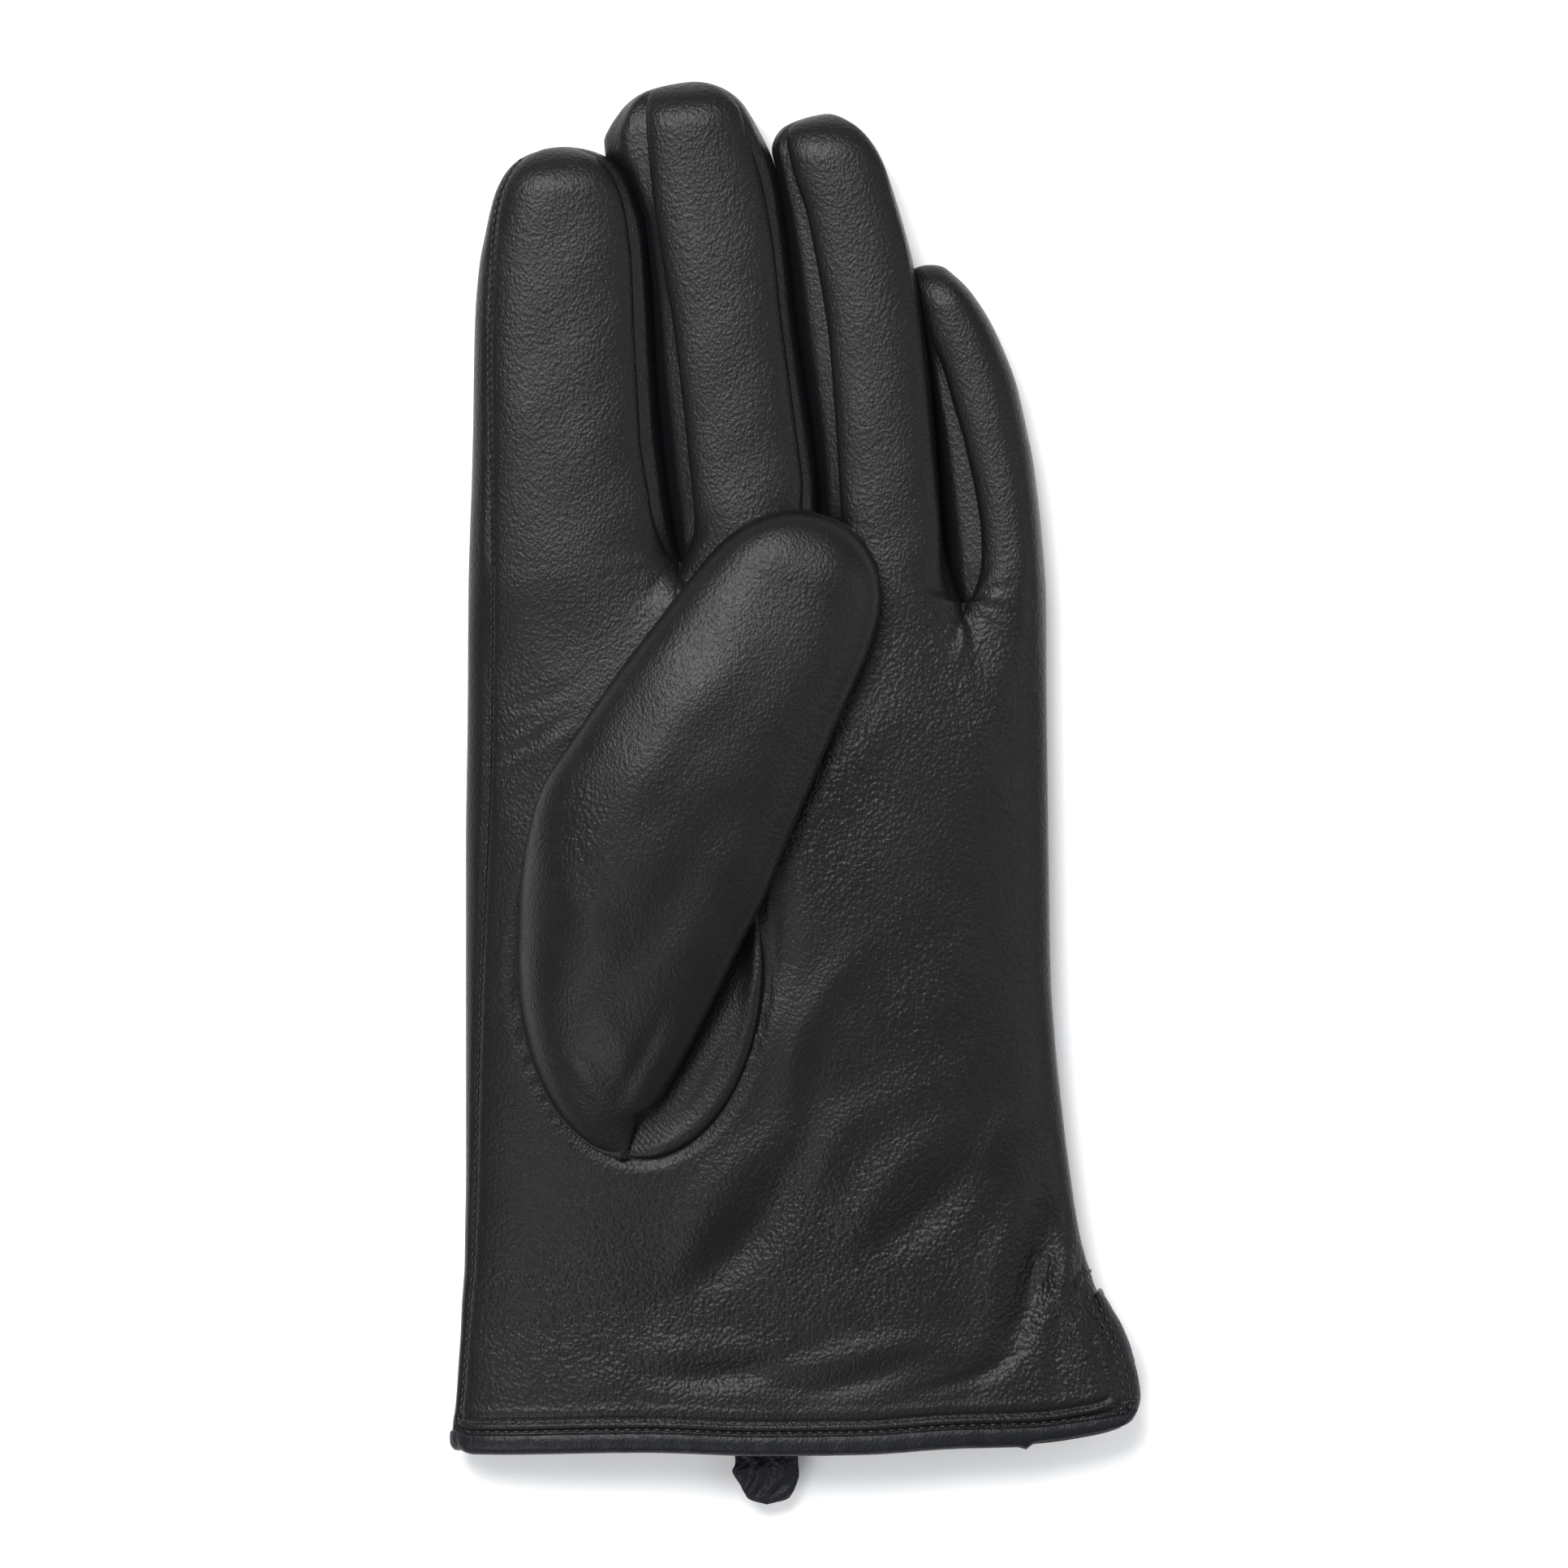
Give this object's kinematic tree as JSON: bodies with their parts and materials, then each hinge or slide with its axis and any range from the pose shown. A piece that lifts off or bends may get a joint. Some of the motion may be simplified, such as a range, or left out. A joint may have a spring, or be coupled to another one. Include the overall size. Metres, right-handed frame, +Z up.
{
  "type": "leather glove",
  "caption": "Left-hand men's leather dress glove lying palm up, with bending finger stalls, a swinging thumb, knitted lining, bound cuff with side vent and a pull tab.",
  "frame": {"origin": "on the flat back of the hand, on the surface it lies on, under the middle of the palm", "axes": "+Y from cuff to fingertips, +Z up out of the palm, +X from the index side to the little-finger side"},
  "size_m": [0.1288, 0.2651, 0.0324],
  "materials": {
    "nappa_leather": "black nappa with a soft satin sheen and fine grain",
    "binding_leather": "black nappa strip, folded",
    "tab_leather": "black nappa, creased",
    "knit_lining": "fine black knit",
    "thread": "black polished thread"
  },
  "bodies": {
    "hand": {"trank_hand": "nappa_leather", "lining_hand": "knit_lining", "thumb_gusset": "nappa_leather", "cuff_binding": "binding_leather", "cuff_stitching": "thread", "side_seam_stitching": "thread", "thumb_seam_stitching": "thread", "tab_anchor": "tab_leather"},
    "index_finger": {"index_palm_face": "nappa_leather", "index_back_face": "nappa_leather", "index_fourchette_outer": "nappa_leather", "index_lining": "knit_lining", "index_seam_stitching": "thread"},
    "middle_finger": {"middle_palm_face": "nappa_leather", "middle_back_face": "nappa_leather", "middle_fourchette_outer": "nappa_leather", "middle_fourchette_inner": "nappa_leather", "middle_lining": "knit_lining"},
    "ring_finger": {"ring_palm_face": "nappa_leather", "ring_back_face": "nappa_leather", "ring_fourchette_outer": "nappa_leather", "ring_fourchette_inner": "nappa_leather", "ring_lining": "knit_lining"},
    "little_finger": {"little_trank_face": "nappa_leather", "little_fourchette_inner": "nappa_leather", "little_lining": "knit_lining"},
    "thumb": {"thumb_upper": "nappa_leather", "thumb_under": "nappa_leather", "thumb_lining": "knit_lining"},
    "tab": {"pull_tab": "tab_leather"}
  },
  "joints": [
    {"name": "index_curl", "type": "hinge", "parent": "hand", "child": "index_finger", "pos_m": [-0.0343, 0.0891, 0.016], "axis": [0.9997, 0.0262, 0], "range_deg": [0, 85]},
    {"name": "middle_curl", "type": "hinge", "parent": "hand", "child": "middle_finger", "pos_m": [-0.0026, 0.0974, 0.016], "axis": [0.9923, 0.1236, 0], "range_deg": [0, 85]},
    {"name": "ring_curl", "type": "hinge", "parent": "hand", "child": "ring_finger", "pos_m": [0.0226, 0.0974, 0.015], "axis": [0.9885, 0.1513, 0], "range_deg": [0, 85]},
    {"name": "little_curl", "type": "hinge", "parent": "hand", "child": "little_finger", "pos_m": [0.0444, 0.0823, 0.014], "axis": [0.9751, 0.2215, 0], "range_deg": [0, 85]},
    {"name": "thumb_swing", "type": "hinge", "parent": "hand", "child": "thumb", "pos_m": [-0.0455, 0.02, 0.0158], "axis": [0, -1, 0], "range_deg": [0, 95]},
    {"name": "tab_fold", "type": "hinge", "parent": "hand", "child": "tab", "pos_m": [0.0018, -0.0845, 0.0054], "axis": [-1, 0, 0], "range_deg": [0, 90]}
  ]
}
